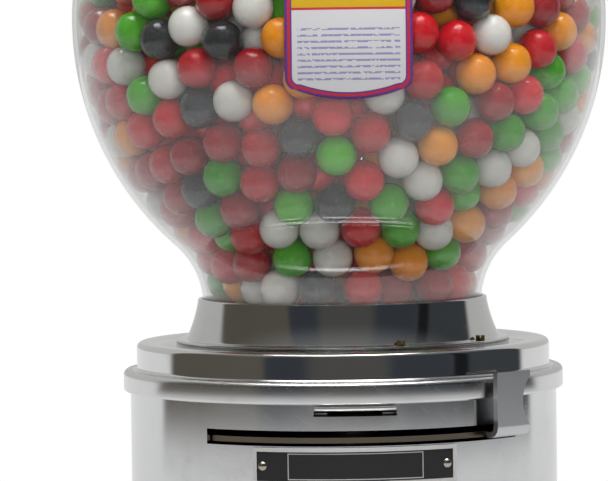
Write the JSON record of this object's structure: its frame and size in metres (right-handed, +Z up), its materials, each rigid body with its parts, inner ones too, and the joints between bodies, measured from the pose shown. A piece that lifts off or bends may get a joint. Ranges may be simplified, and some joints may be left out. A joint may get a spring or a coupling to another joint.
{
  "type": "gumball machine",
  "caption": "Countertop gumball machine: glass globe of gumballs on a polished metal drum, with a coin slit, a swinging side lever, a chute with a flap and a locking lid.",
  "frame": {"origin": "under the middle of the feet, on the surface that the machine stands on", "axes": "+Z up along the tie rod, the front with the coin slit and the outlet faces -Y, +X to the right seen from the front"},
  "size_m": [0.2, 0.2, 0.3451],
  "materials": {
    "polished_metal": "polished",
    "glass": "clear",
    "sheet_steel": "plain sheet",
    "bright_steel": "turned",
    "screw_steel": "plated",
    "brass": "machined",
    "lock_chrome": "polished",
    "rubber": "matt",
    "black_plate": "black enamel with a bright border",
    "rivet_metal": "domed",
    "wheel_casting": "cast",
    "red_gum": "glazed sugar",
    "white_gum": "glazed sugar",
    "green_gum": "glazed sugar",
    "orange_gum": "glazed sugar",
    "black_gum": "glazed sugar"
  },
  "bodies": {
    "base": {"base_ring": "polished_metal", "base_plate": "sheet_steel", "base_screws": "screw_steel", "rubber_feet": "rubber", "tie_rod": "bright_steel", "rod_boss": "bright_steel", "coin_box": "sheet_steel", "body_shell": "polished_metal", "top_cover": "polished_metal", "coin_slot_lip": "polished_metal", "nameplate": "black_plate", "nameplate_rivets": "rivet_metal", "outlet_frame": "polished_metal", "flap_pin": "bright_steel", "chute": "sheet_steel", "coin_rail": "sheet_steel", "deck_plate": "sheet_steel", "deck_posts": "bright_steel", "deck_screws": "screw_steel", "hopper_floor": "sheet_steel", "thrust_collar": "bright_steel", "globe_collar": "polished_metal", "collar_screws": "brass", "globe_seal": "rubber", "glass_globe": "glass", "gumball_core": "red_gum", "red_gumballs": "red_gum", "white_gumballs": "white_gum", "green_gumballs": "green_gum", "orange_gumballs": "orange_gum", "black_gumballs": "black_gum"},
    "lever": {"lever": "polished_metal", "lever_hub": "bright_steel", "coin_carrier": "sheet_steel", "return_spring": "bright_steel"},
    "wheel": {"dispensing_wheel": "wheel_casting"},
    "flap": {"outlet_flap": "sheet_steel"},
    "lid": {"lid": "polished_metal", "lid_seal": "rubber", "lock_barrel": "lock_chrome", "lock_nut": "bright_steel"},
    "lock": {"lock_plug": "brass"}
  },
  "joints": [
    {"name": "lever_swing", "type": "hinge", "parent": "base", "child": "lever", "pos_m": [0, 0, 0.083], "axis": [0, 0, -1], "range_deg": [0, 77], "stiffness_Nm_per_rad": 0.12, "springref_deg": -45.84, "deforming": ["return_spring"]},
    {"name": "wheel_turn", "type": "hinge", "parent": "base", "child": "wheel", "pos_m": [0, 0, 0.105], "axis": [0, 0, -1], "range_deg": [0, 77]},
    {"name": "flap_hinge", "type": "hinge", "parent": "base", "child": "flap", "pos_m": [0, -0.0845, 0.042], "axis": [-1, 0, 0], "range_deg": [0, 80]},
    {"name": "lid_lift", "type": "slide", "parent": "base", "child": "lid", "axis": [0, 0, 1], "range_m": [0, 0.09]},
    {"name": "lock_turn", "type": "hinge", "parent": "lid", "child": "lock", "pos_m": [0, 0, 0.34], "axis": [0, 0, 1], "range_deg": [0, 90]}
  ],
  "couplings": [
    {"joint": "wheel_turn", "follows": "lever_swing", "ratio": 1}
  ]
}
